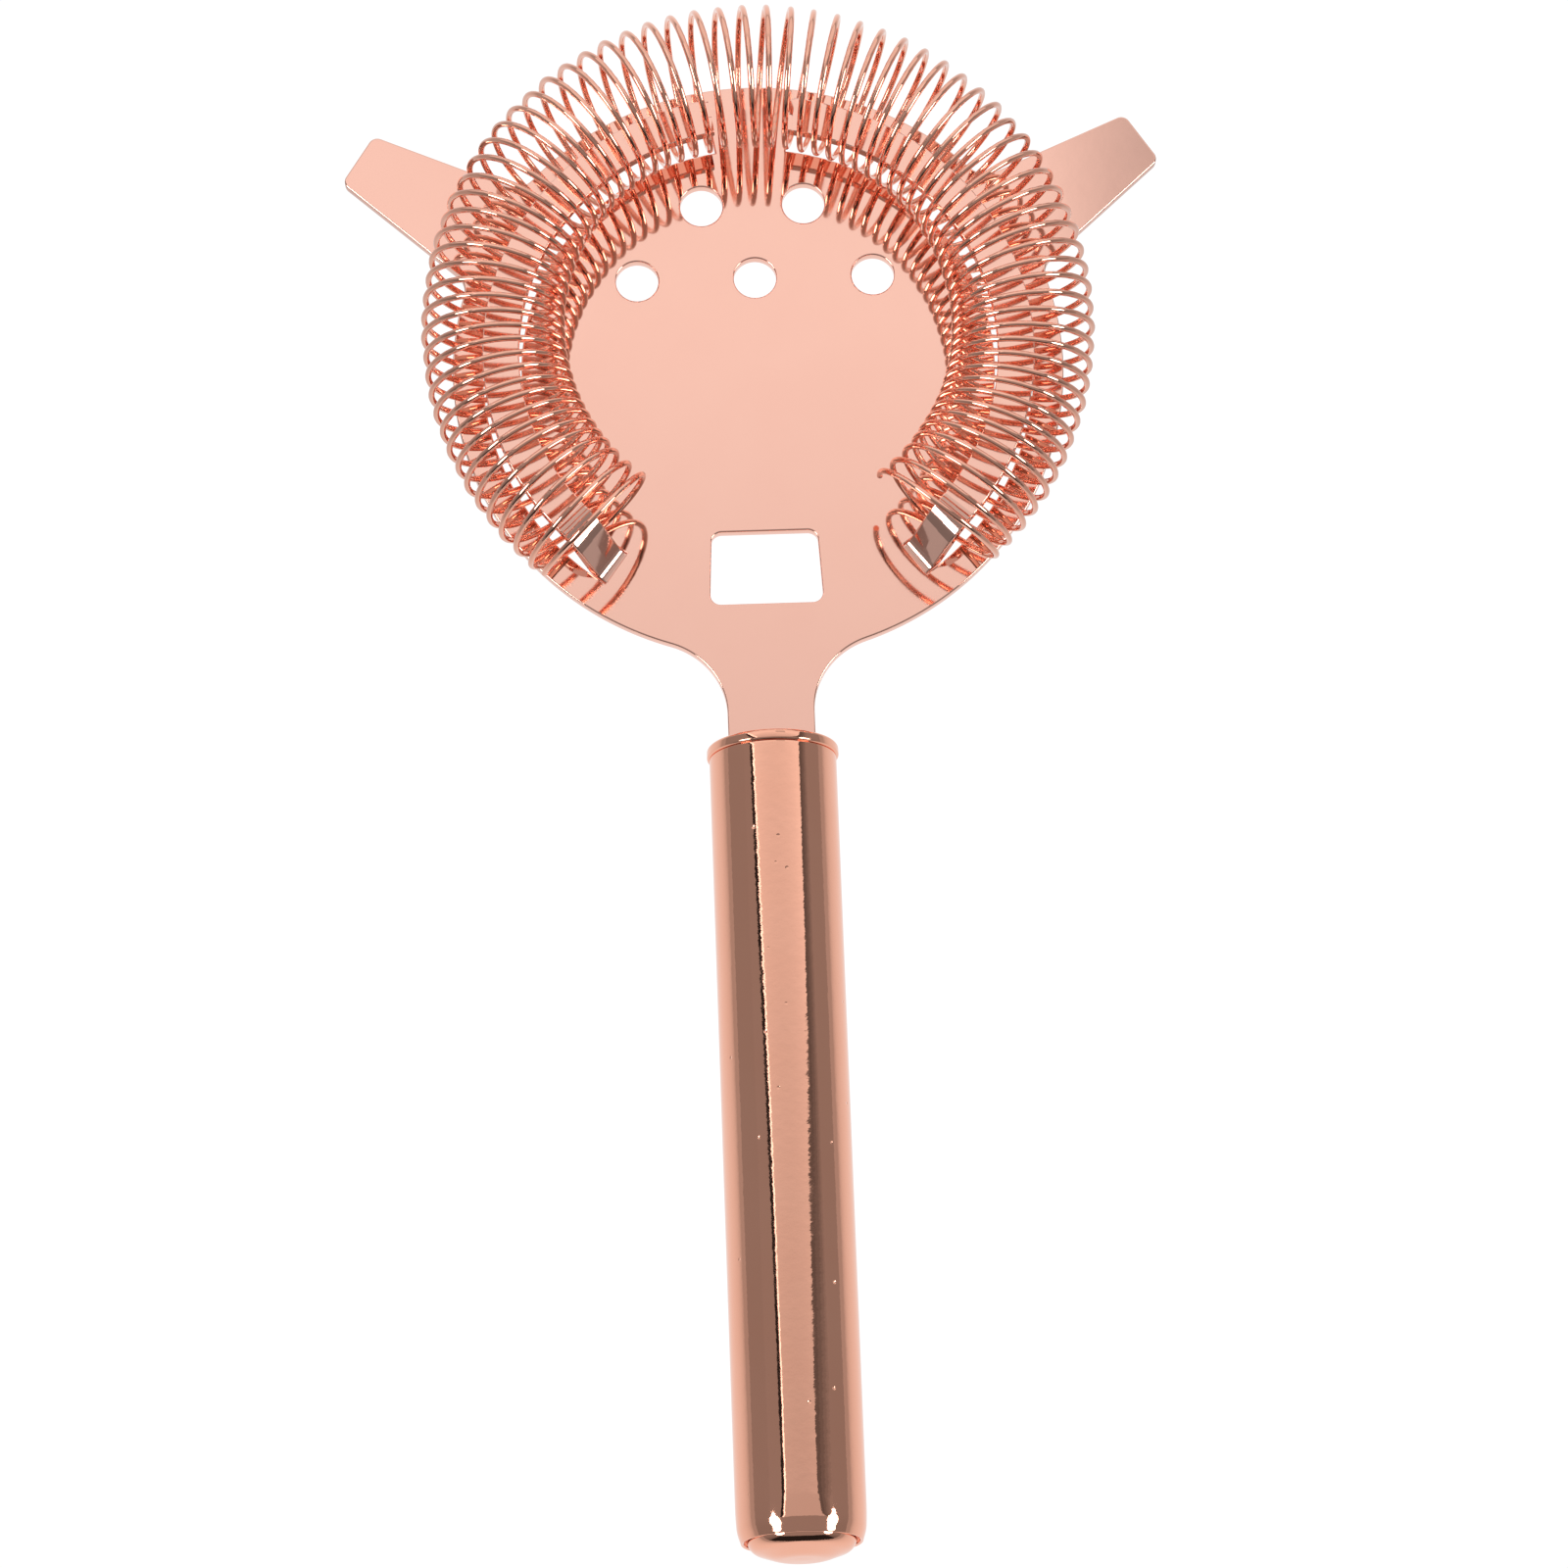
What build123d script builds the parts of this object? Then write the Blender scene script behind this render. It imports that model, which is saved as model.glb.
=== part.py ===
"""Hawthorne strainer: a stamped head with two ears and two raised tongues, a coil
spring threaded on the tongues, and a tubular handle closed by two caps.

Frame: the XY plane is the back face of the disc, the origin is the disc's centre,
+Z points to the spring side and the handle runs along -Y. Millimetres.
"""
import os
from math import asin, cos, degrees, radians, sin, sqrt, tan

from build123d import *

# Sheet of the head, its edges rounded in polishing
plate_thickness = 1.5
disc_radius = 39.2
sheet_edge = 0.2

# Ears that rest on the rim of the mixing glass
ear_angle = 31.0
ear_turn = 1.9
ear_length = 20.2
ear_tip_width = 7.7
ear_flare = 9.2
ear_tip_corner = 1.2
ear_root_fillet = 3.0

# Neck between the disc and the handle, and the tang inside the handle
neck_length = 13.5
tang_width = 11.0
tang_insertion = 16.0
tang_relief = 0.05
neck_fillet = 10.0

# Drain holes: a row of three and a row of two in front of it
drain_diameter = 5.45
drain_spacing = 15.2
front_row_spacing = 13.2
drain_row_step = 10.2
front_row_margin = 7.9

# Window behind the spring, a little wider towards the handle
window_front_width = 13.4
window_back_width = 14.4
window_length = 9.7
window_rim = 7.1
window_corner = 1.3

# Tongues lanced out of the sheet, which carry the spring
tongue_rim = 8.7
tongue_width = 4.7
tongue_gap = 4.8
tongue_tip_angle = 81.3
tongue_root_angle = -54.6
ramp_length = 4.6
bend_radius = 1.6
lance_clearance = 0.1

# Coil spring: one wire wound into a tube, and the tube bent round the disc
wire_diameter = 0.8
coil_diameter = 18.5
coil_gap = 0.3
coil_side_offset = -0.25
coil_front_clearance = 0.85
coil_start_margin = 8.0
coil_end_margin = 8.2
coil_turns = 74.5
coil_sections = 4
pitch_side = 3.55
pitch_front = 4.05
end_turn_gap = 0.15
end_zone = 6.0
corner_share = 0.97

# Two points closer than this are the same place
place_tolerance = 0.01

# Handle
tube_diameter = 16.0
tube_wall = 0.8
tube_length = 99.9
tube_edge_roll = 0.45
tube_edge_length = 2.8
cap_fit = 0.02

# Front cap: a flange with a slotted plug
flange_length = 1.4
flange_lip = 0.3
flange_edge = 0.3
plug_length = 6.0
slot_clearance = 0.1

# End cap: a dome on a plug
dome_inset = 0.5
dome_height = 1.6
dome_rim = 0.5
dome_recess = 0.3
end_plug_length = 5.0

# Places on the head
ear_reach = disc_radius + ear_length
tongue_inner_radius = disc_radius - tongue_rim
tongue_outer_radius = tongue_inner_radius + tongue_width
tongue_mid_radius = tongue_inner_radius + tongue_width / 2
tongue_rise = plate_thickness + tongue_gap
ramp_angle = degrees(ramp_length / tongue_mid_radius)
front_row_y = tongue_inner_radius - front_row_margin
drain_row_y = front_row_y - drain_row_step
window_back_y = window_rim - disc_radius
window_front_y = window_back_y + window_length

# Places on the spring: round the tongues at the sides, hanging on them at the front
wire_circle_radius = (coil_diameter - wire_diameter) / 2
coil_bore_radius = coil_diameter / 2 - wire_diameter
coil_height = plate_thickness + coil_gap + coil_diameter / 2
coil_side_radius = tongue_mid_radius + coil_side_offset
front_slant = coil_bore_radius - coil_front_clearance
coil_front_radius = tongue_inner_radius + sqrt(front_slant**2 - (coil_height - tongue_rise) ** 2)
coil_start_angle = 180 - tongue_root_angle - coil_start_margin
coil_end_angle = tongue_root_angle + coil_end_margin
pitch_end = degrees((wire_diameter + end_turn_gap) / (coil_side_radius - wire_circle_radius))

# Places on the handle, whose axis runs in the middle of the sheet
handle_height = plate_thickness / 2
tube_front_y = -disc_radius - neck_length
tube_back_y = tube_front_y - tube_length
tube_radius = tube_diameter / 2
bore_radius = tube_radius - tube_wall
tube_mouth_radius = tube_radius - tube_edge_roll
plug_radius = bore_radius - cap_fit
flange_radius = tube_radius + flange_lip
neck_end_y = tube_front_y + flange_length
dome_radius = bore_radius - dome_inset
dome_base_y = tube_back_y - dome_rim
dome_sphere_radius = (dome_radius**2 + dome_height**2) / (2 * dome_height)
dome_half_angle = asin(dome_radius / dome_sphere_radius)
dome_shoulder_y = dome_base_y - dome_height + dome_sphere_radius * (1 - cos(dome_half_angle / 2))
handle_plane = Plane.XY.offset(handle_height)
handle_axis = Axis((0, 0, handle_height), (0, 1, 0))
front_plane = Plane(origin=(0, neck_end_y, handle_height), x_dir=(1, 0, 0), z_dir=(0, -1, 0))

os.makedirs("parts", exist_ok=True)


def polar(radius, angle):
    """Point of the XY plane at a radius and an angle in degrees."""
    return (radius * cos(radians(angle)), radius * sin(radians(angle)))


def arc_strip(inner, outer, start, end):
    """Flat strip between two radii, bent round the disc's centre."""
    with BuildSketch(Plane.XY) as strip:
        with BuildLine():
            CenterArc((0, 0), inner, start, end - start)
            CenterArc((0, 0), outer, start, end - start)
            Line(polar(inner, start), polar(outer, start))
            Line(polar(inner, end), polar(outer, end))
        make_face()
    return strip.sketch


def on_disc_edge(vertex):
    """Whether a corner of the outline lies on the disc's edge."""
    return abs(vertex.center().length - disc_radius) < place_tolerance


def ear_outline():
    """Ear on the +X side: a strip that widens from its tip back into the disc."""
    tip = Plane(origin=polar(ear_reach, ear_angle) + (0,), x_dir=polar(1, ear_angle + ear_turn) + (0,))
    root_half = ear_tip_width / 2 + disc_radius * tan(radians(ear_flare))
    with BuildSketch(tip) as ear:
        with BuildLine():
            Polyline(
                (0, ear_tip_width / 2),
                (-disc_radius, root_half),
                (-disc_radius, -root_half),
                (0, -ear_tip_width / 2),
                close=True,
            )
        make_face()
        fillet(ear.vertices().sort_by(Axis(tip.origin, tip.x_dir))[-2:], radius=ear_tip_corner)
    return ear.sketch


# Ramp that lifts the +X tongue out of the sheet, cut to the tongue's own curve
ramp_middle = tongue_root_angle + ramp_angle / 2
ramp_plane = Plane(
    origin=polar(tongue_mid_radius, ramp_middle) + (0,),
    x_dir=polar(1, ramp_middle + 90) + (0,),
    z_dir=polar(1, ramp_middle) + (0,),
)
overlap = plate_thickness
overlap_angle = degrees(overlap / tongue_mid_radius)
with BuildPart() as ramp:
    with BuildSketch(ramp_plane):
        with BuildLine():
            FilletPolyline(
                (-ramp_length / 2 - overlap, plate_thickness / 2),
                (-ramp_length / 2, plate_thickness / 2),
                (ramp_length / 2, tongue_rise + plate_thickness / 2),
                (ramp_length / 2 + overlap, tongue_rise + plate_thickness / 2),
                radius=bend_radius,
            )
        trace(line_width=plate_thickness)
    extrude(amount=tongue_width, both=True)
    with BuildSketch(Plane.XY):
        add(
            arc_strip(
                tongue_inner_radius,
                tongue_outer_radius,
                tongue_root_angle - overlap_angle,
                tongue_root_angle + ramp_angle + overlap_angle,
            )
        )
    extrude(amount=tongue_rise + plate_thickness, mode=Mode.INTERSECT)

# One stamped sheet: disc, ears, neck, tang, holes, window and the two tongues
with BuildPart() as strainer_plate:
    with BuildSketch(Plane.XY) as outline:
        Circle(disc_radius)
        add(ear_outline())
        mirror(ear_outline(), about=Plane.YZ)
        fillet(outline.vertices().filter_by(on_disc_edge).sort_by(Axis.Y)[-4:], radius=ear_root_fillet)
        with Locations((0, neck_end_y - tang_insertion)):
            Rectangle(tang_width, tang_insertion - neck_end_y, align=(Align.CENTER, Align.MIN))
        fillet(outline.vertices().filter_by(on_disc_edge).sort_by(Axis.Y)[:2], radius=neck_fillet)
        with Locations((0, drain_row_y)):
            with GridLocations(drain_spacing, 0, 3, 1):
                Circle(drain_diameter / 2, mode=Mode.SUBTRACT)
        with Locations((0, front_row_y)):
            with GridLocations(front_row_spacing, 0, 2, 1):
                Circle(drain_diameter / 2, mode=Mode.SUBTRACT)
        with BuildLine():
            FilletPolyline(
                (-window_front_width / 2, window_front_y),
                (window_front_width / 2, window_front_y),
                (window_back_width / 2, window_back_y),
                (-window_back_width / 2, window_back_y),
                radius=window_corner,
                close=True,
            )
        make_face(mode=Mode.SUBTRACT)
    extrude(amount=plate_thickness)
    blank = strainer_plate.part
    fillet(blank.faces().filter_by(Axis.Z).edges(), radius=sheet_edge)
    with BuildSketch(Plane.XY):
        with Locations((0, neck_end_y)):
            Rectangle(tang_width, tang_insertion, align=(Align.CENTER, Align.MAX))
    extrude(amount=tang_relief, mode=Mode.SUBTRACT)
    with BuildSketch(Plane.XY) as slots:
        slot = arc_strip(
            tongue_inner_radius - lance_clearance,
            tongue_outer_radius + lance_clearance,
            tongue_root_angle,
            tongue_tip_angle,
        )
        add(slot)
        mirror(slot, about=Plane.YZ)
    extrude(amount=plate_thickness, mode=Mode.SUBTRACT)
    with BuildSketch(Plane.XY.offset(tongue_rise)):
        strip = arc_strip(
            tongue_inner_radius, tongue_outer_radius, tongue_root_angle + ramp_angle, tongue_tip_angle
        )
        add(strip)
        mirror(strip, about=Plane.YZ)
    extrude(amount=plate_thickness)
    add(ramp.part)
    mirror(ramp.part, about=Plane.YZ)

strainer_plate.part.label = "strainer_plate"
export_step(strainer_plate.part, "parts/strainer_plate.step")


def turn_pitch(angle):
    """Relative pitch of the turns: widest at the front, nearly closed at both ends."""
    front = max(0.0, sin(radians(angle)))
    pitch = pitch_side + (pitch_front - pitch_side) * front**2
    end_distance = min(coil_start_angle - angle, angle - coil_end_angle)
    open_share = min(1.0, max(0.0, end_distance / end_zone))
    return pitch_end + (pitch - pitch_end) * open_share


def coil_point(angle, turn, reach):
    """Point at a reach from the tube's centre line, turned from its outer side over its top."""
    front_share = ((1 + sin(radians(angle))) / 2) ** 2
    centre_radius = coil_side_radius + (coil_front_radius - coil_side_radius) * front_share
    height = coil_height + reach * sin(radians(turn))
    return polar(centre_radius + reach * cos(radians(turn)), angle) + (height,)


# Coil spring: each quarter turn of the wire rounds one corner of a square about the tube,
# from the outer side at the start to the inner side at the end
corner_reach = wire_circle_radius * sqrt(2)
quarters = round(4 * coil_turns)
coil_span = coil_start_angle - coil_end_angle
pitches = [turn_pitch(coil_start_angle - coil_span * (i + 0.5) / quarters) for i in range(quarters)]
coil_angle = coil_start_angle
coil_corners = []
for i, pitch in enumerate(pitches):
    step = coil_span * pitch / sum(pitches)
    coil_corners.append(Vector(coil_point(coil_angle - step / 2, 90 * i + 45, corner_reach)))
    coil_angle -= step
coil_joints = [(before + after) / 2 for before, after in zip(coil_corners, coil_corners[1:])]
coil_joints.insert(0, Vector(coil_point(coil_start_angle, 0, wire_circle_radius)))
coil_joints.append(Vector(coil_point(coil_end_angle, 90 * quarters, wire_circle_radius)))

# The wire is made in sections that meet face to face, so that each stays a simple solid
for section in range(coil_sections):
    first = round(quarters * section / coil_sections)
    last = round(quarters * (section + 1) / coil_sections)
    with BuildPart() as coil_section:
        with BuildLine() as wire_path:
            FilletPolyline(
                coil_joints[first],
                *coil_corners[first:last],
                coil_joints[last],
                radius=wire_circle_radius * corner_share,
            )
        wire = wire_path.wires()[0]
        with BuildSketch(Plane(origin=wire @ 0, z_dir=wire % 0)):
            Circle(wire_diameter / 2)
        sweep()
    coil_section.part.label = f"coil_spring_{section + 1}"
    export_step(coil_section.part, f"parts/coil_spring_{section + 1}.step")

# Handle tube, its back edge rolled in towards the mouth
with BuildPart() as handle_tube:
    with BuildSketch(handle_plane):
        with BuildLine():
            Polyline(
                (tube_mouth_radius, tube_back_y),
                (bore_radius, tube_back_y),
                (bore_radius, tube_front_y),
                (tube_radius, tube_front_y),
                (tube_radius, tube_back_y + tube_edge_length),
            )
            TangentArc(
                (tube_radius, tube_back_y + tube_edge_length),
                (tube_mouth_radius, tube_back_y),
                tangent=(0, -1),
            )
        make_face()
    revolve(axis=handle_axis)

handle_tube.part.label = "handle_tube"
export_step(handle_tube.part, "parts/handle_tube.step")

# Front cap: a flange over the tube's end and a plug in its bore, slotted for the tang
with BuildPart() as front_cap:
    with BuildSketch(front_plane):
        Circle(flange_radius)
    extrude(amount=flange_length)
    fillet(front_cap.edges().filter_by(GeomType.CIRCLE), radius=flange_edge)
    with BuildSketch(front_plane.offset(flange_length)):
        Circle(plug_radius)
    extrude(amount=plug_length)
    with BuildSketch(front_plane):
        Rectangle(tang_width + 2 * slot_clearance, plate_thickness)
    extrude(amount=flange_length + plug_length, mode=Mode.SUBTRACT)

front_cap.part.label = "front_cap"
export_step(front_cap.part, "parts/front_cap.step")

# End cap: a plug in the bore, and a dome that stands out of the tube's mouth
with BuildPart() as end_cap:
    with BuildSketch(handle_plane):
        with BuildLine():
            Polyline(
                (0, dome_base_y - dome_height),
                (0, tube_back_y + end_plug_length),
                (plug_radius, tube_back_y + end_plug_length),
                (plug_radius, tube_back_y + dome_recess),
                (dome_radius, tube_back_y + dome_recess),
                (dome_radius, dome_base_y),
            )
            ThreePointArc(
                (dome_radius, dome_base_y),
                (dome_radius * sin(dome_half_angle / 2) / sin(dome_half_angle), dome_shoulder_y),
                (0, dome_base_y - dome_height),
            )
        make_face()
    revolve(axis=handle_axis)

end_cap.part.label = "end_cap"
export_step(end_cap.part, "parts/end_cap.step")
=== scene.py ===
"""Hawthorne strainer: a stamped head with two ears and two raised tongues, a coil spring on the
tongues and a tubular handle, all plated in polished copper. Metres, in the frame of the CAD part.
"""
import math
import random

import bmesh
import bpy
from mathutils import Matrix, Vector


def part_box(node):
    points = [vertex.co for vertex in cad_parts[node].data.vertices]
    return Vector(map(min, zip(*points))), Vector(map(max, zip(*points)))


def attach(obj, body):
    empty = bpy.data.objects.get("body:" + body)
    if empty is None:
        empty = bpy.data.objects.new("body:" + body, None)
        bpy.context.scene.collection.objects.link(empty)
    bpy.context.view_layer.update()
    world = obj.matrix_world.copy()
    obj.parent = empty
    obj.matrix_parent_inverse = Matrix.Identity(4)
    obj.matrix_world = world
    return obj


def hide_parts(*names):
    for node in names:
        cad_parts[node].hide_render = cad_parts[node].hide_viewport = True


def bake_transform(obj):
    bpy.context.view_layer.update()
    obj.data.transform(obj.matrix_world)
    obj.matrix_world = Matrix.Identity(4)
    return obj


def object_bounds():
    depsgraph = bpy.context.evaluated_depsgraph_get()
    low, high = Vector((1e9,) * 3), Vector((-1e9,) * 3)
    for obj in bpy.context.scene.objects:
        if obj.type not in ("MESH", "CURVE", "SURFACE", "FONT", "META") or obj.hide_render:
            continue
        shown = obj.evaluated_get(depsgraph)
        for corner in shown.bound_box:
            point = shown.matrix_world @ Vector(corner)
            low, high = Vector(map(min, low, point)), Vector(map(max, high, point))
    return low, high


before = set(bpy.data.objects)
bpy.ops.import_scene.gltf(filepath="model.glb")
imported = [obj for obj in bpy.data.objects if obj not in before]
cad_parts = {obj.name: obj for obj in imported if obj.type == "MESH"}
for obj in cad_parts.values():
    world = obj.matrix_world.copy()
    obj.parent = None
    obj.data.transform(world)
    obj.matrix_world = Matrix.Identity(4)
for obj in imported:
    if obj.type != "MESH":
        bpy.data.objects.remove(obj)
cad_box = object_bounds()

MM = 0.001

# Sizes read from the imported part
plate_low, plate_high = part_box("strainer_plate")
coil_nodes = sorted(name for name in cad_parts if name.startswith("coil_spring"))
coil_boxes = [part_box(name) for name in coil_nodes]
tube_low, tube_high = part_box("handle_tube")
front_cap_low, front_cap_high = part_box("front_cap")
end_cap_low, end_cap_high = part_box("end_cap")

# Sheet of the head
disc_radius = plate_high.y
sheet_thickness = 1.5 * MM
sheet_edge = 0.2 * MM
ear_angle = 31.0
ear_turn = 1.9
ear_reach = disc_radius + 20.2 * MM
ear_tip_width = 7.7 * MM
ear_flare = 9.2
ear_tip_corner = 1.2 * MM
ear_root_fillet = 3.0 * MM
tang_width = 11.0 * MM
neck_fillet = 10.0 * MM
weld_distance = 0.002 * MM
drain_radius = 5.45 * MM / 2
drain_spacing = 15.2 * MM
drain_row_y = disc_radius - 26.8 * MM
front_row_spacing = 13.2 * MM
front_row_y = disc_radius - 16.6 * MM
window_back_y = 7.1 * MM - disc_radius
window_front_y = window_back_y + 9.7 * MM
window_front_width = 13.4 * MM
window_back_width = 14.4 * MM
window_corner = 1.3 * MM

# Tongues lanced out of the sheet
tongue_inner_radius = disc_radius - 8.7 * MM
tongue_width = 4.7 * MM
tongue_mid_radius = tongue_inner_radius + tongue_width / 2
tongue_rise = plate_high.z - sheet_thickness
tongue_tip_angle = 81.3
tongue_root_angle = -54.6
ramp_start = 1.05 * MM
ramp_end = 5.3 * MM
low_bend = 2.4 * MM
high_bend = 4.2 * MM
root_depth = 0.3 * MM
lance_clearance = 0.1 * MM
tongue_edge = 0.15 * MM
tongue_hold = 0.12 * MM

# Coil spring
wire_radius = 0.4 * MM
coil_top = max(high.z for low, high in coil_boxes)
coil_bottom = min(low.z for low, high in coil_boxes)
coil_radius = (coil_top - coil_bottom) / 2
coil_height = (coil_top + coil_bottom) / 2
winding_radius = coil_radius - wire_radius
coil_side_radius = tongue_mid_radius - 0.25 * MM
coil_front_radius = max(high.y for low, high in coil_boxes) - coil_radius
coil_turns = 74.5
coil_start_angle = 226.6
coil_end_angle = -46.4
pitch_side = 3.55
pitch_front = 4.05
pitch_end = 2.3
end_zone = 6.0
end_lean = 7.0
lean_zone = 12.0
lean_phase = 135.0
slack_most = 0.16 * MM
tilt_most = 0.2
slack_seed = 7

# Handle
handle_height = (tube_low.z + tube_high.z) / 2
tube_radius = tube_high.x
bore_radius = tube_radius - 0.8 * MM
mouth_radius = tube_radius - 0.6 * MM
plug_radius = bore_radius - 0.02 * MM
bore_front_corner = 0.1 * MM
tube_front_corner = 0.15 * MM
roll_start = 3.6 * MM
roll_bend = 40 * MM
shoulder_start = 1.5 * MM
shoulder_drop = 0.12 * MM
shoulder_bend = 5.0 * MM
lip_corner = 0.12 * MM
lip_inset = 0.15 * MM
lip_inner_corner = 0.1 * MM
lip_end = 1.6 * MM
lip_end_corner = 0.2 * MM
flange_front_corner = 0.45 * MM
flange_back_corner = 0.3 * MM
plug_end_corner = 0.3 * MM
seat_corner = 0.02 * MM
dome_recess = 0.75 * MM
dome_radius = 6.7 * MM
dome_seat_corner = 0.1 * MM
dome_shoulder = 1.35 * MM
dome_shoulder_bend = 1.9 * MM
dome_flat_radius = 3.2 * MM
dome_flat_drop = 0.1 * MM
dome_bend = 5.0 * MM
handle_hold = 0.25 * MM
on_axis = 1e-7

# Steps along the curves, and where shading turns flat or sharp
neck_steps = 24
side_edge_steps = 60
front_edge_steps = 50
hole_steps = 72
slot_steps = 110
tongue_steps = 120
wire_steps = 56
wire_sides = 12
handle_steps = 192
sharp_angle = 40.0
flat_normal = 0.9999


def polar(radius, angle, height=None):
    """Point at a radius and an angle in degrees about the disc's centre."""
    x = radius * math.cos(math.radians(angle))
    y = radius * math.sin(math.radians(angle))
    return Vector((x, y)) if height is None else Vector((x, y, height))


def short_arc(centre, start, end, steps):
    """Points on the shorter arc about a centre from one point to another."""
    first = start - centre
    turn = math.atan2(first.x * (end - centre).y - first.y * (end - centre).x, first.dot(end - centre))
    return [centre + Matrix.Rotation(turn * i / steps, 2) @ first for i in range(steps + 1)]


def rounded(corners, steps=8):
    """Open path through (point, radius) corners, each turned with an arc of its radius."""
    path = [corners[0][0]]
    for (before, _), (corner, radius), (after, _) in zip(corners, corners[1:], corners[2:]):
        back = (before - corner).normalized()
        forth = (after - corner).normalized()
        half = back.angle(forth) / 2
        centre = corner + (back + forth).normalized() * radius / math.sin(half)
        reach = radius / math.tan(half)
        path += short_arc(centre, corner + back * reach, corner + forth * reach, steps)
    return path + [corners[-1][0]]


def held(outline, margin):
    """Outline with points a margin inside the ends of its long runs, which keep their shading flat."""
    path = [outline[0]]
    for start, end in zip(outline, outline[1:]):
        run = (end - start).length
        if run > 3 * margin:
            step = (end - start) * margin / run
            path += [start + step, end - step]
        path.append(end)
    return path


def root_fillet(on_line, outward, side, radius, steps=10):
    """Arc that runs from the disc's edge into a straight side that leaves the disc."""
    base = on_line + side * radius
    along = -base.dot(outward) + math.sqrt(
        base.dot(outward) ** 2 - base.length_squared + (disc_radius + radius) ** 2
    )
    centre = base + outward * along
    return short_arc(centre, centre * disc_radius / (disc_radius + radius), centre - side * radius, steps)


def disc_arc(start, end, steps):
    """Points on the disc's edge between two points, without the first and the last."""
    return short_arc(Vector((0, 0)), start, end, steps)[1:-1]


def sheet_outline():
    """Outline of the disc with its ears, neck and tang."""
    tang_end = Vector((tang_width / 2, plate_low.y))
    tang_side = Vector((tang_width / 2, 0))
    neck = root_fillet(tang_side, Vector((0, -1)), Vector((1, 0)), neck_fillet, neck_steps)
    tip = polar(ear_reach, ear_angle)
    outward = polar(1, ear_angle + ear_turn)
    across = Vector((-outward.y, outward.x))
    spread = disc_radius * math.tan(math.radians(ear_flare))
    tips = [tip + across * ear_tip_width / 2 * sign for sign in (-1, 1)]
    sides = [(outward * disc_radius - across * spread * sign).normalized() for sign in (-1, 1)]
    low_root = root_fillet(tips[0], sides[0], Vector((sides[0].y, -sides[0].x)), ear_root_fillet)
    high_root = root_fillet(tips[1], sides[1], Vector((-sides[1].y, sides[1].x)), ear_root_fillet)
    ear_tip = rounded(
        [(low_root[-1], 0), (tips[0], ear_tip_corner), (tips[1], ear_tip_corner), (high_root[-1], 0)]
    )
    top = Vector((0, disc_radius))
    right = [tang_end, *neck[::-1], *disc_arc(neck[0], low_root[0], side_edge_steps), *low_root]
    right += [*ear_tip[1:-1], *high_root[::-1], *disc_arc(high_root[0], top, front_edge_steps)]
    left = [Vector((-p.x, p.y)) for p in reversed(right)]
    return right + [top] + left


def sheet_openings():
    """Outlines of the drain holes, the window and the two slots that the tongues leave."""
    centres = [Vector((x * drain_spacing, drain_row_y)) for x in (-1, 0, 1)]
    centres += [Vector((x * front_row_spacing, front_row_y)) for x in (-0.5, 0.5)]
    circle = [polar(drain_radius, 360 / hole_steps * i) for i in range(hole_steps)]
    holes = [[centre + point for point in circle] for centre in centres]
    middle = Vector((0, window_front_y))
    corners = [
        (middle, 0),
        (Vector((window_front_width / 2, window_front_y)), window_corner),
        (Vector((window_back_width / 2, window_back_y)), window_corner),
        (Vector((-window_back_width / 2, window_back_y)), window_corner),
        (Vector((-window_front_width / 2, window_front_y)), window_corner),
        (middle, 0),
    ]
    holes.append(rounded(corners)[:-1])
    inner = tongue_inner_radius - lance_clearance
    outer = tongue_inner_radius + tongue_width + lance_clearance
    span = tongue_tip_angle - tongue_root_angle
    angles = [tongue_root_angle + span * i / slot_steps for i in range(slot_steps + 1)]
    slot = [polar(inner, a) for a in angles] + [polar(outer, a) for a in reversed(angles)]
    return holes + [slot, [Vector((-p.x, p.y)) for p in slot]]


def new_piece(name, mesh, material):
    """Object from a mesh, in its material, its faces smooth up to sharp corners."""
    mesh.validate()
    mesh.shade_smooth()
    mesh.set_sharp_from_angle(angle=math.radians(sharp_angle))
    mesh.materials.append(material)
    piece = bpy.data.objects.new(name, mesh)
    bpy.context.scene.collection.objects.link(piece)
    return piece


def sheet_mesh():
    """The stamped sheet with its openings and rounded edges."""
    curve = bpy.data.curves.new("sheet_blank", "CURVE")
    curve.dimensions = "2D"
    curve.fill_mode = "BOTH"
    curve.extrude = sheet_thickness / 2 - sheet_edge
    curve.bevel_depth = sheet_edge
    curve.bevel_resolution = 3
    curve.offset = -sheet_edge
    for outline in [sheet_outline()] + sheet_openings():
        spline = curve.splines.new("POLY")
        spline.points.add(len(outline) - 1)
        for point, place in zip(spline.points, outline):
            point.co = (place.x, place.y, 0, 1)
        spline.use_cyclic_u = True
    blank = bpy.data.objects.new("sheet_blank", curve)
    bpy.context.scene.collection.objects.link(blank)
    mesh = bpy.data.meshes.new_from_object(blank.evaluated_get(bpy.context.evaluated_depsgraph_get()))
    bpy.data.objects.remove(blank)
    mesh.transform(Matrix.Translation((0, 0, sheet_thickness / 2)))
    return mesh


def add_strip(work, rings):
    """Faces between rings of points that follow each other, with a face on each end."""
    made = [[work.verts.new(p) for p in ring] for ring in rings]
    count = len(made[0])
    for one, two in zip(made, made[1:]):
        for i in range(count):
            work.faces.new((one[i], one[(i + 1) % count], two[(i + 1) % count], two[i]))
    work.faces.new(made[0][::-1])
    work.faces.new(made[-1])


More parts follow.
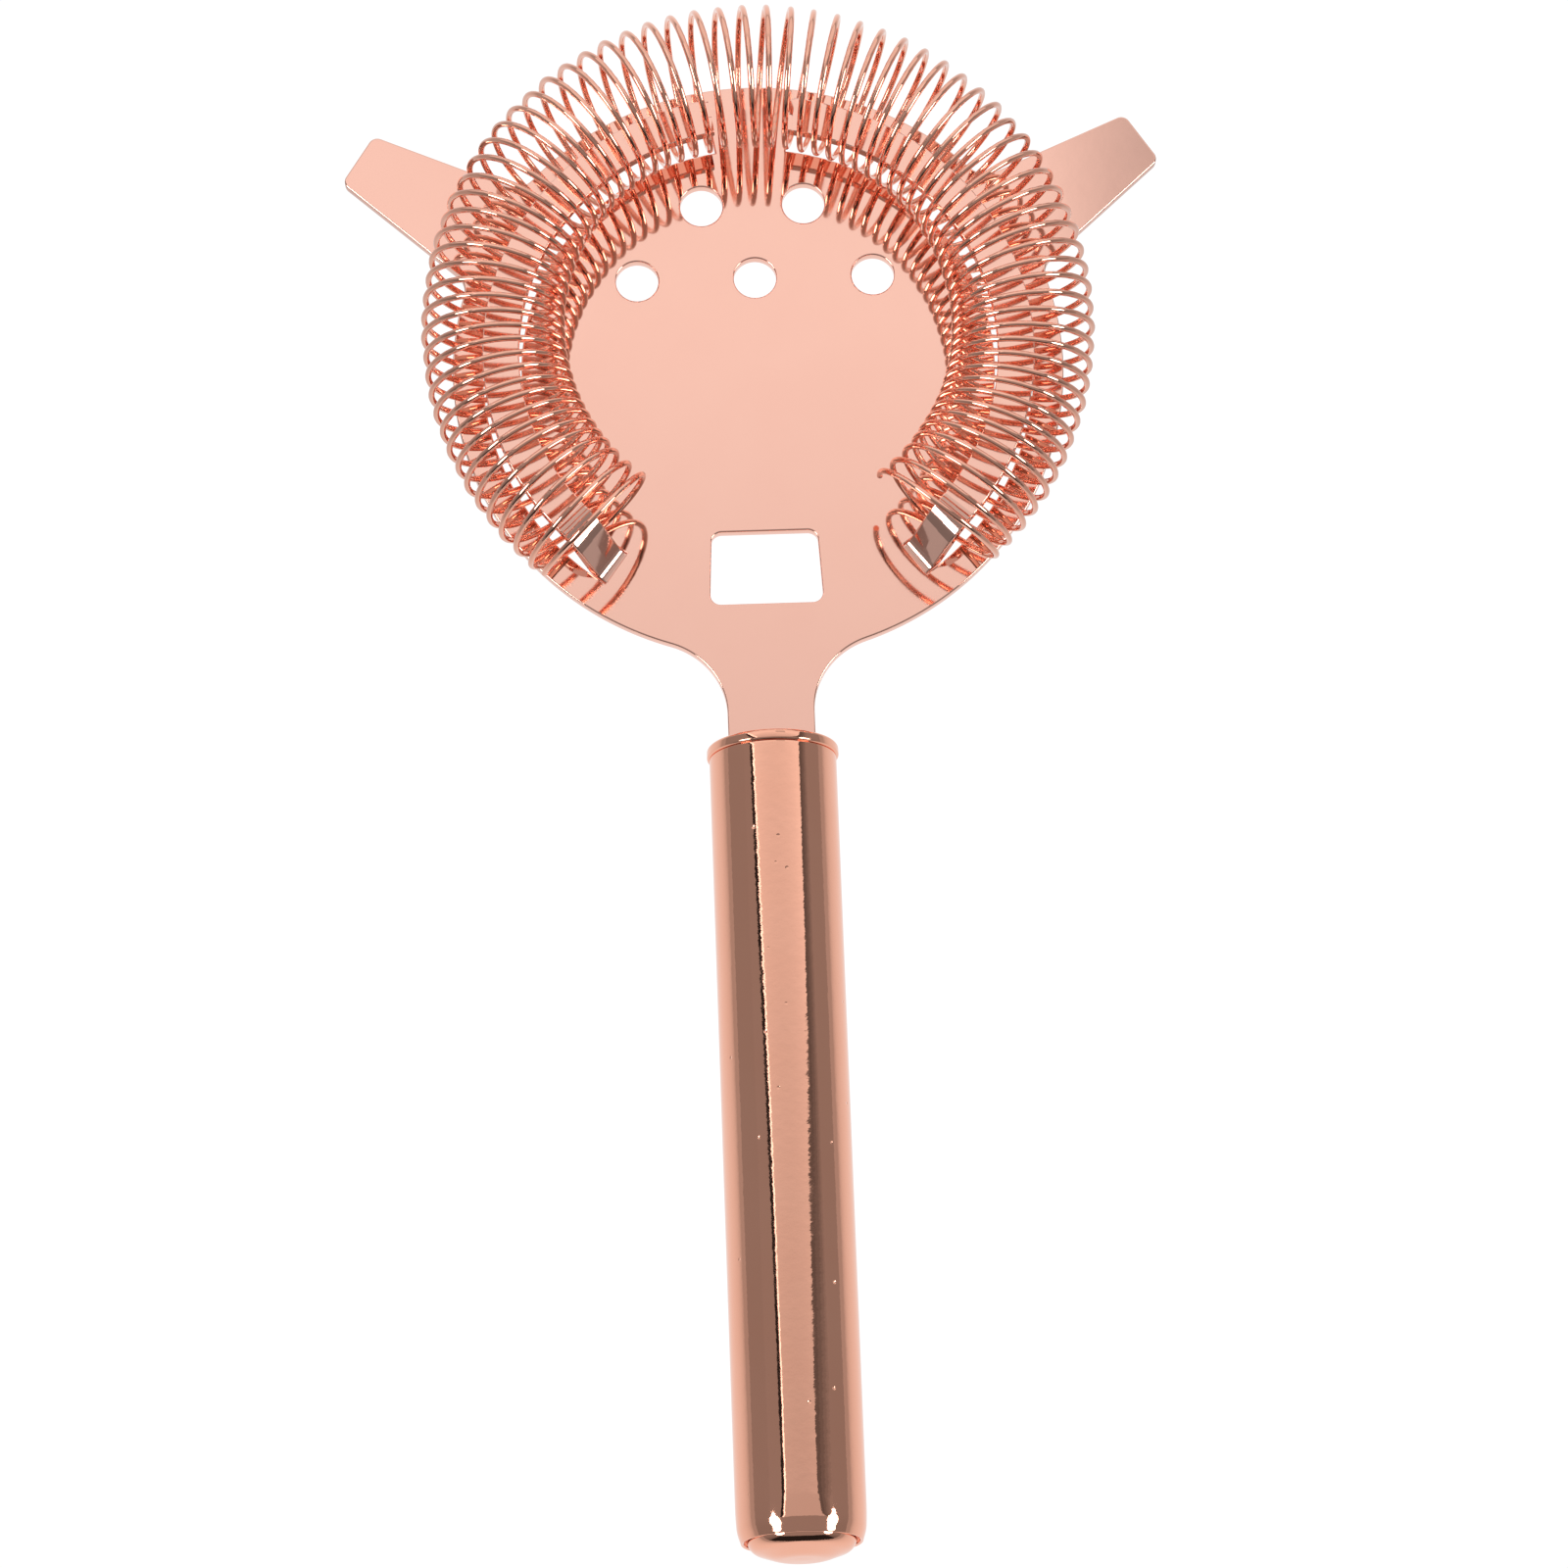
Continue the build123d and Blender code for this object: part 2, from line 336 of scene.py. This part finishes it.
def tongue_rings(side):
    """Sections of a tongue from its root in the sheet, up the ramp and round to its tip."""
    low = sheet_thickness / 2
    high = tongue_rise + low
    arc_length = math.radians(tongue_tip_angle - tongue_root_angle) * tongue_mid_radius
    bends = rounded(
        [
            (Vector((-root_depth, low)), 0),
            (Vector((ramp_start, low)), low_bend),
            (Vector((ramp_end, high)), high_bend),
            (Vector((arc_length, high)), 0),
        ]
    )
    start = bends[-2].x
    level = arc_length - start
    path = bends[:-1] + [
        Vector((start + level * i / tongue_steps, high)) for i in range(1, tongue_steps + 1)
    ]
    half_width, half_sheet = tongue_width / 2, sheet_thickness / 2
    section = rounded(
        [
            (Vector((0, half_sheet)), 0),
            (Vector((half_width, half_sheet)), tongue_edge),
            (Vector((half_width, -half_sheet)), tongue_edge),
            (Vector((-half_width, -half_sheet)), tongue_edge),
            (Vector((-half_width, half_sheet)), tongue_edge),
            (Vector((0, half_sheet)), 0),
        ],
        steps=3,
    )
    section = held(section, tongue_hold)[:-1]
    rings = []
    for i, place in enumerate(path):
        ahead = path[min(i + 1, len(path) - 1)] - path[max(i - 1, 0)]
        normal = Vector((-ahead.y, ahead.x)).normalized()
        last = i == len(path) - 1
        share = 1 - 2 * tongue_edge / sheet_thickness if last else 1
        ring = []
        for corner in section:
            along = place + normal * corner.y * share
            angle = tongue_root_angle + math.degrees(along.x / tongue_mid_radius)
            reach = corner.x - math.copysign(tongue_edge, corner.x) * last
            point = polar(tongue_mid_radius + reach, angle, along.y)
            ring.append(Vector((point.x * side, point.y, point.z)))
        rings.append(ring if side > 0 else ring[::-1])
    return rings


def make_plate(material):
    """The head: one sheet with its two tongues."""
    work = bmesh.new()
    work.from_mesh(sheet_mesh())
    bmesh.ops.remove_doubles(work, verts=work.verts, dist=weld_distance)
    for side in (1, -1):
        add_strip(work, tongue_rings(side))
    bmesh.ops.recalc_face_normals(work, faces=work.faces)
    mesh = bpy.data.meshes.new("strainer_head")
    work.to_mesh(mesh)
    work.free()
    head = new_piece("strainer_head", mesh, material)
    flat = [p.area > 0 and abs(p.normal.z) > flat_normal for p in mesh.polygons]
    for polygon, is_flat in zip(mesh.polygons, flat):
        polygon.use_smooth = not is_flat
    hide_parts("strainer_plate")
    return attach(head, "strainer")


def turn_pitch(angle):
    """Relative pitch of the turns: widest at the front, nearly closed at both ends."""
    front = max(0.0, math.sin(math.radians(angle)))
    pitch = pitch_side + (pitch_front - pitch_side) * front**2
    end_distance = min(coil_start_angle - angle, angle - coil_end_angle)
    open_share = min(1.0, max(0.0, end_distance / end_zone))
    return pitch_end + (pitch - pitch_end) * open_share


def coil_path():
    """Centre line of the wire, with the direction that points out of the winding at each place."""
    count = round(coil_turns * wire_steps)
    span = coil_start_angle - coil_end_angle
    pitches = [turn_pitch(coil_start_angle - span * (i + 0.5) / count) for i in range(count)]
    total = sum(pitches)
    chance = random.Random(slack_seed)
    turns = round(coil_turns) + 2
    slack = [chance.uniform(0, slack_most) for _ in range(turns)]
    tilts = [chance.uniform(-tilt_most, tilt_most) for _ in range(turns)]
    path = []
    angle = coil_start_angle
    for i in range(count + 1):
        turn, part = divmod(i / wire_steps, 1)
        blend = part * part * (3 - 2 * part)
        turn = int(turn)
        loose = slack[turn] + (slack[turn + 1] - slack[turn]) * blend
        tilt = tilts[turn] + (tilts[turn + 1] - tilts[turn]) * blend
        phase = 2 * math.pi * i / wire_steps
        front_share = ((1 + math.sin(math.radians(angle))) / 2) ** 2
        centre = coil_side_radius + (coil_front_radius - coil_side_radius) * front_share
        reach = winding_radius - loose
        near_end = max(0.0, 1 - min(coil_start_angle - angle, angle - coil_end_angle) / lean_zone)
        toward_end = 1 if angle > 90 else -1
        upper = (1 + math.cos(phase - math.radians(lean_phase))) / 2
        shown = angle + tilt * math.sin(phase) + toward_end * end_lean * near_end**2 * upper
        place = polar(centre + reach * math.cos(phase), shown, coil_height + reach * math.sin(phase))
        out = polar(1, shown, 0) * math.cos(phase) + Vector((0, 0, math.sin(phase)))
        path.append((place, out))
        if i < count:
            angle -= span * pitches[i] / total
    return path


def make_coil(material):
    """One wire wound into a tube that rings the head, its two ends cut square."""
    path = coil_path()
    turns = [2 * math.pi * k / wire_sides for k in range(wire_sides)]
    rings = []
    for i, (place, out) in enumerate(path):
        ahead = path[min(i + 1, len(path) - 1)][0] - path[max(i - 1, 0)][0]
        across = ahead.cross(out).normalized()
        up = across.cross(ahead).normalized()
        rings.append([place + (across * math.cos(t) + up * math.sin(t)) * wire_radius for t in turns])
    work = bmesh.new()
    add_strip(work, rings)
    bmesh.ops.recalc_face_normals(work, faces=work.faces)
    mesh = bpy.data.meshes.new("coil_wire")
    work.to_mesh(mesh)
    work.free()
    coil = new_piece("coil_wire", mesh, material)
    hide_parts(*coil_nodes)
    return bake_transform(coil)


def lathe(name, outline, closed):
    """Mesh turned about the handle's axis from an outline of (radius, y) points."""
    work = bmesh.new()
    turns = [2 * math.pi * k / handle_steps for k in range(handle_steps)]
    rings = []
    for radius, y in held(outline, handle_hold):
        if radius < on_axis:
            rings.append([work.verts.new((0, y, handle_height))])
            continue
        places = [(radius * math.sin(t), y, handle_height + radius * math.cos(t)) for t in turns]
        rings.append([work.verts.new(p) for p in places])
    pairs = list(zip(rings, rings[1:]))
    if closed:
        pairs.append((rings[-1], rings[0]))
    for one, two in pairs:
        for k in range(handle_steps):
            n = (k + 1) % handle_steps
            corners = [one[k], one[n]] if len(one) > 1 else [one[0]]
            corners += [two[n], two[k]] if len(two) > 1 else [two[0]]
            work.faces.new(corners)
    bmesh.ops.recalc_face_normals(work, faces=work.faces)
    mesh = bpy.data.meshes.new(name)
    work.to_mesh(mesh)
    work.free()
    return mesh


def make_tube(material):
    """Handle tube with a crisp front edge and a back edge rolled in towards its mouth."""
    front = tube_high.y
    back = tube_low.y
    middle = (Vector((bore_radius, (front + back) / 2)), 0)
    corners = [
        middle,
        (Vector((bore_radius, front)), bore_front_corner),
        (Vector((tube_radius, front)), tube_front_corner),
        (Vector((tube_radius, back + roll_start)), roll_bend),
        (Vector((tube_radius - shoulder_drop, back + shoulder_start)), shoulder_bend),
        (Vector((mouth_radius, back)), lip_corner),
        (Vector((bore_radius - lip_inset, back + lip_inset)), lip_inner_corner),
        (Vector((bore_radius, back + lip_end)), lip_end_corner),
        middle,
    ]
    outline = rounded(corners, steps=10)[:-1]
    mesh = lathe("handle_tube_shell", outline, closed=True)
    tube = new_piece("handle_tube_shell", mesh, material)
    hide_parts("handle_tube")
    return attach(tube, "strainer")


def make_front_cap(material):
    """Front cap: a flange with rounded edges on a plug in the tube."""
    front = front_cap_high.y
    joint = tube_high.y
    radius = front_cap_high.x
    corners = [
        (Vector((0, front)), 0),
        (Vector((radius, front)), flange_front_corner),
        (Vector((radius, joint)), flange_back_corner),
        (Vector((plug_radius, joint)), seat_corner),
        (Vector((plug_radius, front_cap_low.y)), plug_end_corner),
        (Vector((0, front_cap_low.y)), 0),
    ]
    mesh = lathe("front_collar", rounded(corners), closed=False)
    cap = new_piece("front_collar", mesh, material)
    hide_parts("front_cap")
    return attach(cap, "strainer")


def make_end_cap(material):
    """End cap: a shallow dome with a rounded shoulder that stands out of the tube's mouth."""
    tip = end_cap_low.y
    recess = tube_low.y + dome_recess
    corners = [
        (Vector((0, end_cap_high.y)), 0),
        (Vector((plug_radius, end_cap_high.y)), plug_end_corner),
        (Vector((plug_radius, recess)), seat_corner),
        (Vector((dome_radius, recess)), dome_seat_corner),
        (Vector((dome_radius, tip + dome_shoulder)), dome_shoulder_bend),
        (Vector((dome_flat_radius, tip + dome_flat_drop)), dome_bend),
        (Vector((0, tip)), 0),
    ]
    mesh = lathe("end_dome", rounded(corners, steps=12), closed=False)
    cap = new_piece("end_dome", mesh, material)
    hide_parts("end_cap")
    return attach(cap, "strainer")


# What the finishes share: the width of their patches of tint, and the span of the noise over which a
# smudge sets in
range_sockets = ("From Min", "From Max", "To Min", "To Max")
tint_patch_mm = 9
smudge_span = (0.35, 0.75)


def colour(code):
    """Linear colour from an sRGB hex code."""
    values = [int(code[i : i + 2], 16) / 255 for i in (1, 3, 5)]
    linear = [v / 12.92 if v <= 0.04045 else ((v + 0.055) / 1.055) ** 2.4 for v in values]
    return (*linear, 1.0)


def node(tree, kind, settings=None, **links):
    """Adds a node. A setting goes by attribute, socket name or socket number, and a link by socket
    name or by the letter i and a socket number.
    """
    made = tree.nodes.new(kind)
    for key, value in (settings or {}).items():
        if isinstance(key, str) and hasattr(made, key):
            setattr(made, key, value)
        else:
            made.inputs[key].default_value = value
    for key, source in links.items():
        name = key.replace("_", " ")
        socket = made.inputs[int(name[1:])] if name[0] == "i" and name[1:].isdigit() else made.inputs[name]
        tree.links.new(source, socket)
    return made


def copper_finish(name, tints, smudge_mm, roughness, wave_mm, wave_deep_mm, pits_mm=None):
    """Bright copper plating: its tint, the smudges on it, the slight wave of the metal under it, and
    pits given by how far apart, how wide and how deep they are.
    """
    material = bpy.data.materials.new(name)
    material.use_nodes = True
    tree = material.node_tree
    tree.nodes.clear()
    place = node(tree, "ShaderNodeTexCoord").outputs["Object"]
    patches = node(
        tree, "ShaderNodeTexNoise", {"Scale": 1 / (tint_patch_mm * MM), "Detail": 2.0}, Vector=place
    )
    tint = node(
        tree,
        "ShaderNodeMix",
        {"data_type": "RGBA", 6: colour(tints[0]), 7: colour(tints[1])},
        i0=patches.outputs["Fac"],
    )
    smudges = node(
        tree,
        "ShaderNodeTexNoise",
        {"Scale": 1 / (smudge_mm * MM), "Detail": 5.0, "Roughness": 0.6},
        Vector=place,
    )
    haze = node(
        tree,
        "ShaderNodeMapRange",
        dict(zip(range_sockets, (*smudge_span, *roughness))),
        Value=smudges.outputs["Fac"],
    )
    wave = node(tree, "ShaderNodeTexNoise", {"Scale": 1 / (wave_mm * MM), "Detail": 3.0}, Vector=place)
    bump = {"Strength": 1.0, "Distance": wave_deep_mm * MM}
    normal = node(tree, "ShaderNodeBump", bump, Height=wave.outputs["Fac"]).outputs["Normal"]
    if pits_mm:
        apart, wide, deep = pits_mm
        cells = node(
            tree, "ShaderNodeTexVoronoi", {"Scale": 1 / (apart * MM), "Randomness": 1.0}, Vector=place
        )
        dents = node(
            tree,
            "ShaderNodeMapRange",
            dict(zip(range_sockets, (0.0, wide / 2 / apart, 0.0, 1.0))),
            Value=cells.outputs["Distance"],
        )
        bump = {"Strength": 1.0, "Distance": deep * MM}
        pitted = node(tree, "ShaderNodeBump", bump, Height=dents.outputs["Result"], Normal=normal)
        normal = pitted.outputs["Normal"]
    shader = node(
        tree,
        "ShaderNodeBsdfPrincipled",
        {"Metallic": 1.0},
        Base_Color=tint.outputs[2],
        Roughness=haze.outputs["Result"],
        Normal=normal,
    )
    node(tree, "ShaderNodeOutputMaterial", None, Surface=shader.outputs["BSDF"])
    return material


# Steel sheet, stamped and buffed to a mirror, then copper plated: a clear pale pink reflection with
# next to no wave in it, barely hazed where it is smudged
sheet_copper = copper_finish(
    "mirror_copper_plated_sheet",
    tints=("#F9C5B3", "#F7C1AF"),
    smudge_mm=6.0,
    roughness=(0.03, 0.08),
    wave_mm=3.0,
    wave_deep_mm=0.002,
)

# Spring wire, drawn and barrel plated: a slightly deeper copper with hard, bright glints, whose
# smudges are a few wires wide
wire_copper = copper_finish(
    "bright_copper_plated_wire",
    tints=("#FABDA6", "#F6B59D"),
    smudge_mm=2.0,
    roughness=(0.02, 0.06),
    wave_mm=0.8,
    wave_deep_mm=0.001,
)

# Steel tube, polished on a wheel and copper plated: a mirror whose reflections have slightly uneven
# edges, from a fine orange peel in the metal, and a few pits. The pits are drawn half a millimetre
# wide, as coarse as they need to show
tube_copper = copper_finish(
    "polished_copper_plated_tube",
    tints=("#F9B99F", "#F6B398"),
    smudge_mm=4.0,
    roughness=(0.03, 0.08),
    wave_mm=1.2,
    wave_deep_mm=0.011,
    pits_mm=(3.6, 0.5, 0.10),
)

make_plate(sheet_copper)
make_coil(wire_copper)
make_tube(tube_copper)
make_front_cap(tube_copper)
make_end_cap(tube_copper)


def emitter(name, strength=1.0, change=None, axis="Y"):
    """Material that gives its own light, whose strength may change along one axis."""
    material = bpy.data.materials.new(name)
    material.use_nodes = True
    tree = material.node_tree
    tree.nodes.clear()
    glow = node(tree, "ShaderNodeEmission", {"Strength": strength})
    if change:
        place = node(tree, "ShaderNodeTexCoord").outputs["Object"]
        along = node(tree, "ShaderNodeSeparateXYZ", None, Vector=place).outputs[axis]
        ramp = node(tree, "ShaderNodeMapRange", dict(zip(range_sockets, change)), Value=along)
        tree.links.new(ramp.outputs["Result"], glow.inputs["Strength"])
    node(tree, "ShaderNodeOutputMaterial", None, Surface=glow.outputs["Emission"])
    return material


def panel(name, corners, material, seen=False):
    """Flat part of the stage, which the camera itself may or may not see."""
    mesh = bpy.data.meshes.new(name)
    mesh.from_pydata(corners, [], [tuple(range(len(corners)))])
    mesh.materials.append(material)
    made = bpy.data.objects.new(name, mesh)
    bpy.context.scene.collection.objects.link(made)
    made.visible_camera = seen
    return made


# Softbox hung askew over the table, brighter at its far end, with a dark flag and a bright strip
# along its left side, dim flags along its right side and a veil over its far right corner.
# Its sides are slopes from the handle's front end: sideways and forward for each metre up
softbox_height = 2.2
softbox_left = [(-0.62, -0.08), (-0.55, 0.06), (-0.475, 0.20), (-0.50, 0.26), (-0.555, 0.305)]
softbox_left += [(-0.68, 0.385), (-1.05, 0.70), (-1.3, 1.0)]
softbox_right = [(0.95, -0.08), (0.68, 0.08), (0.555, 0.20), (0.73, 0.29), (0.95, 0.37)]
softbox_right += [(1.08, 0.47), (1.2, 0.70), (1.3, 1.0)]
cloth_change = (0.26, 0.90, 0.585, 1.02)
bright_strip_width = 0.05
bright_strip_light = 2.2
dark_flag_width = 0.12
dim_flag_width = 0.16
dim_flag_light = (0.13, 0.17, 0.22, 0.27)
black = 0.02
veil_corners = [(0.19, 0.82), (0.9, 0.82), (0.9, 1.5), (0.19, 1.5)]
veil_height = softbox_height - 0.02
veil_change = (0.19, 0.24, 1.02, 0.66)


def over(slopes):
    """Places at the softbox's height, from slopes."""
    return [(x * softbox_height, tube_high.y + y * softbox_height, softbox_height) for x, y in slopes]


def beside(edge, near, far):
    """Strip that runs along a side of the softbox between two distances from it."""
    return over([(x + near, y) for x, y in edge] + [(x + far, y) for x, y in reversed(edge)])


panel("softbox", over(softbox_left + softbox_right[::-1]), emitter("softbox_cloth", change=cloth_change))
bright_strip = beside(softbox_left, 0.0, -bright_strip_width)
panel("bright_strip", bright_strip, emitter("bright_strip", strength=bright_strip_light))
dark_flag = beside(softbox_left, -bright_strip_width, -bright_strip_width - dark_flag_width)
panel("dark_flag", dark_flag, emitter("black_flag", strength=black))
veil = [(x, y, veil_height) for x, y in veil_corners]
panel("corner_veil", veil, emitter("corner_veil", change=veil_change, axis="X"))
for number, light in enumerate(dim_flag_light):
    dim_flag = beside(softbox_right, number * dim_flag_width, (number + 1) * dim_flag_width)
    panel(f"dim_flag_{number}", dim_flag, emitter(f"dim_flag_{number}", strength=light))


def upright(half_width, y, low, high):
    """Corners of a panel that stands across the handle's line."""
    return [(-half_width, y, low), (half_width, y, low), (half_width, y, high), (-half_width, y, high)]


# Black card that stands close to the handle's end, and a bright strip low on the wall behind it
black_card = upright(half_width=0.19, y=-0.30, low=0.012, high=0.15)
panel("black_card", black_card, emitter("black_card", strength=black))
low_strip = upright(half_width=2.0, y=-3.0, low=0.08, high=0.50)
panel("low_strip", low_strip, emitter("low_strip", strength=1.3))

# Two oval lamps low on the handle's side, whose glints show on the rolled edge and the wire
lamp_places = {"left_lamp": (-1.27, -0.44, 1.10), "right_lamp": (1.41, -0.42, 0.92)}
lamp_width, lamp_height = 0.95, 0.60
lamp_watts = 12
for name, place in lamp_places.items():
    light = bpy.data.lights.new(name, "AREA")
    light.shape = "ELLIPSE"
    light.size = lamp_width
    light.size_y = lamp_height
    light.energy = lamp_watts
    lamp = bpy.data.objects.new(name, light)
    lamp.location = place
    lamp.rotation_euler = (-Vector(place)).to_track_quat("-Z", "Y").to_matrix().to_euler()
    bpy.context.scene.collection.objects.link(lamp)
    lamp.visible_camera = False

# Floor: a pale table that gives its own light and shows no shadow. In reflections it is dimmer to
# both sides of the object
table_reach = 6.0
table_light = 1.05
table_falloff = (0.015, 0.09, 0.92, 0.44)
table = bpy.data.materials.new("pale_table")
table.use_nodes = True
tree = table.node_tree
tree.nodes.clear()
looked_at = node(tree, "ShaderNodeLightPath").outputs["Is Camera Ray"]
place = node(tree, "ShaderNodeTexCoord").outputs["Object"]
sideways = node(tree, "ShaderNodeSeparateXYZ", None, Vector=place).outputs["X"]
aside = node(tree, "ShaderNodeMath", {"operation": "ABSOLUTE"}, i0=sideways)
dimmer = node(
    tree, "ShaderNodeMapRange", dict(zip(range_sockets, table_falloff)), Value=aside.outputs[0]
)
shine = node(tree, "ShaderNodeMix", {"B": table_light}, Factor=looked_at, A=dimmer.outputs["Result"])
glow = node(tree, "ShaderNodeEmission", None, Strength=shine.outputs["Result"])
node(tree, "ShaderNodeOutputMaterial", None, Surface=glow.outputs["Emission"])
table_corners = [(x * table_reach, y * table_reach, 0) for x, y in ((-1, -1), (1, -1), (1, 1), (-1, 1))]
floor = panel("table", table_corners, table, seen=True)
floor.location = (0, 0, cad_box[0].z)

# Room: dim walls with a dark foot beyond the handle, and pale to a direct look. The light of the
# walls goes by the share of the way from the handle's side to the far side
wall_light = [(0.12, 0.10), (0.34, 0.27), (0.72, 0.32), (0.88, 0.9)]
high_wall_change = (0.20, 0.55, 0.0, 0.32)
room_light = 0.9
world = bpy.data.worlds.new("studio")
bpy.context.scene.world = world
world.use_nodes = True
tree = world.node_tree
tree.nodes.clear()
toward = node(tree, "ShaderNodeTexCoord").outputs["Generated"]
parts = node(tree, "ShaderNodeSeparateXYZ", None, Vector=toward).outputs
share = node(tree, "ShaderNodeMapRange", {"From Min": -1.0, "From Max": 1.0}, Value=parts["Y"])
walls = node(tree, "ShaderNodeValToRGB", None, Fac=share.outputs["Result"])
while len(walls.color_ramp.elements) < len(wall_light):
    walls.color_ramp.elements.new(0.5)
for element, (where, light) in zip(walls.color_ramp.elements, wall_light):
    element.position = where
    element.color = (light, light, light, 1)
high_wall = node(
    tree, "ShaderNodeMapRange", dict(zip(range_sockets, high_wall_change)), Value=parts["Z"]
)
lightest = node(
    tree,
    "ShaderNodeMath",
    {"operation": "MAXIMUM"},
    i0=walls.outputs["Color"],
    i1=high_wall.outputs["Result"],
)
looked_at = node(tree, "ShaderNodeLightPath").outputs["Is Camera Ray"]
pale = (room_light, room_light, room_light, 1)
room = node(tree, "ShaderNodeMix", {"data_type": "RGBA", 7: pale}, i0=looked_at, i6=lightest.outputs[0])
background = node(tree, "ShaderNodeBackground", {"Strength": 1.0}, Color=room.outputs[2])
node(tree, "ShaderNodeOutputWorld", None, Surface=background.outputs["Background"])

# Camera: above the handle's side of the table, looking down at the middle of the neck
camera = bpy.data.objects.new("camera", bpy.data.cameras.new("camera"))
camera.data.angle = math.radians(14.28)
camera.data.clip_start = 0.05
camera.location = (-0.0151, -0.2980, 0.7491)
camera_aim = Vector((0.0013, -0.0558, 0))
camera_roll = math.radians(1.9)
look = (camera_aim - camera.location).to_track_quat("-Z", "Y").to_matrix()
camera.rotation_euler = (look @ Matrix.Rotation(camera_roll, 3, "Z")).to_euler()
bpy.context.scene.collection.objects.link(camera)
bpy.context.scene.camera = camera
bpy.context.scene.view_settings.view_transform = "Standard"
